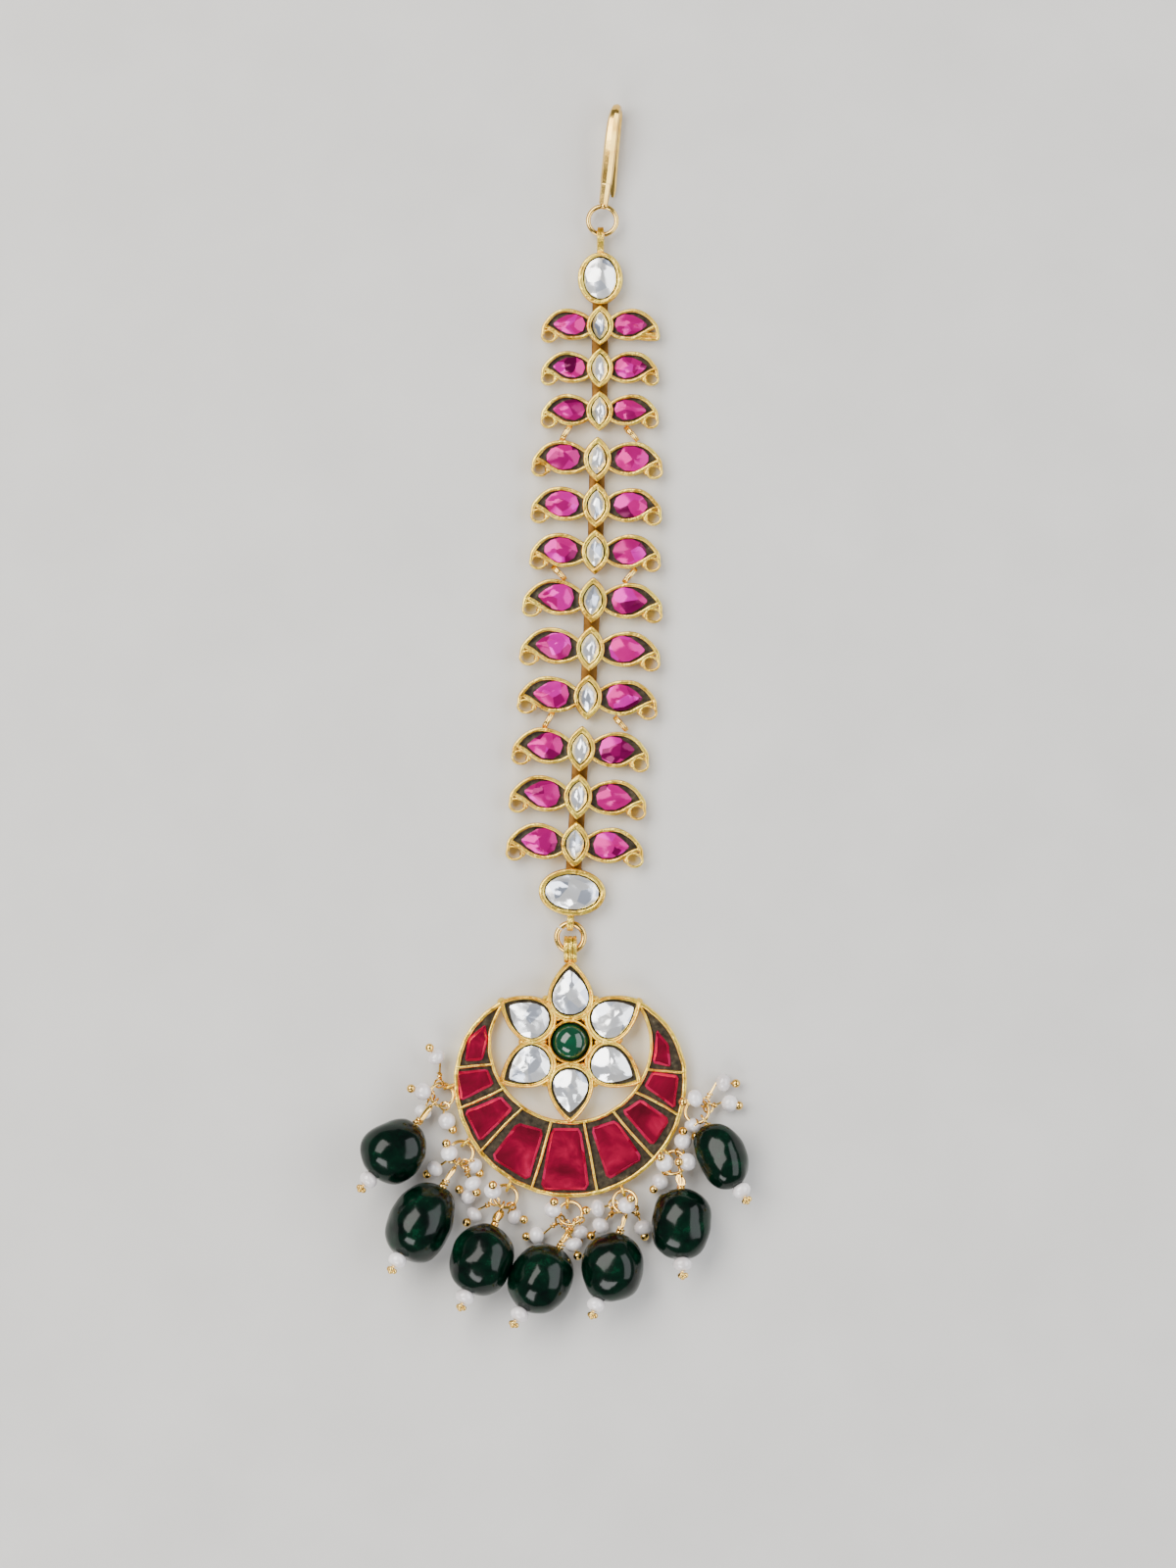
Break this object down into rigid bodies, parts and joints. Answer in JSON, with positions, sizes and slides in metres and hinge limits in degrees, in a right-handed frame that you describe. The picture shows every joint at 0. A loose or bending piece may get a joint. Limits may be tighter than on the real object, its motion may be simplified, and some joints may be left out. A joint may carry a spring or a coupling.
{
  "type": "maang tikka",
  "caption": "Long maang tikka lying flat: hooked centre strip of linked gold wing sections with pink and white stones, and a crescent pendant with green bead drops and pearls.",
  "frame": {"origin": "centre of the bounding box, on the surface that the tikka lies on", "axes": "+Y along the strip from the pendant to the hook, +Z out of the face, +X to the right of the face"},
  "size_m": [0.0544, 0.1668, 0.009],
  "materials": {
    "antique_gold": "antiqued gold plate, blackened in the recesses",
    "polished_gold": "polished gold plate",
    "white_stone": "clear cut glass on silver foil",
    "green_stone": "polished green glass cabochon",
    "ruby_stone": "crimson glass slab on foil",
    "pink_stone": "magenta glass on foil",
    "black_lac": "blackened lac round the stones",
    "green_bead": "tumbled and polished dark green",
    "pearl": "pearl lustre"
  },
  "bodies": {
    "root": {"hair_hook": "polished_gold", "section_1": "antique_gold", "section_2": "antique_gold", "section_3": "antique_gold", "section_4": "antique_gold", "link_1_left": "polished_gold", "link_1_right": "polished_gold", "link_2_left": "polished_gold", "link_2_right": "polished_gold", "link_3_left": "polished_gold", "link_3_right": "polished_gold", "marquise_stone_01": "white_stone", "marquise_stone_02": "white_stone", "marquise_stone_03": "white_stone", "marquise_stone_04": "white_stone", "marquise_stone_05": "white_stone", "marquise_stone_06": "white_stone", "marquise_stone_07": "white_stone", "marquise_stone_08": "white_stone", "marquise_stone_09": "white_stone", "marquise_stone_10": "white_stone", "marquise_stone_11": "white_stone", "marquise_stone_12": "white_stone", "oval_stone_top": "white_stone", "oval_stone_bottom": "white_stone", "pendant_ring": "polished_gold", "pendant_frame": "antique_gold", "pear_stone_1": "white_stone", "pear_stone_2": "white_stone", "pear_stone_3": "white_stone", "pear_stone_4": "white_stone", "pear_stone_5": "white_stone", "pear_stone_6": "white_stone", "centre_cabochon": "green_stone", "ruby_stone_1": "ruby_stone", "ruby_stone_2": "ruby_stone", "ruby_stone_3": "ruby_stone", "ruby_stone_4": "ruby_stone", "ruby_stone_5": "ruby_stone", "ruby_stone_6": "ruby_stone", "ruby_stone_7": "ruby_stone", "ruby_stone_8": "ruby_stone", "ruby_stone_9": "ruby_stone", "pearl_cluster_1": "pearl", "pearl_cluster_2": "pearl", "pearl_cluster_3": "pearl", "pearl_cluster_4": "pearl", "pearl_cluster_5": "pearl", "pearl_cluster_6": "pearl", "pearl_cluster_7": "pearl", "drop_1": "green_bead", "drop_2": "green_bead", "drop_3": "green_bead", "drop_4": "green_bead", "drop_5": "green_bead", "drop_6": "green_bead", "drop_7": "green_bead"}
  },
  "joints": []
}
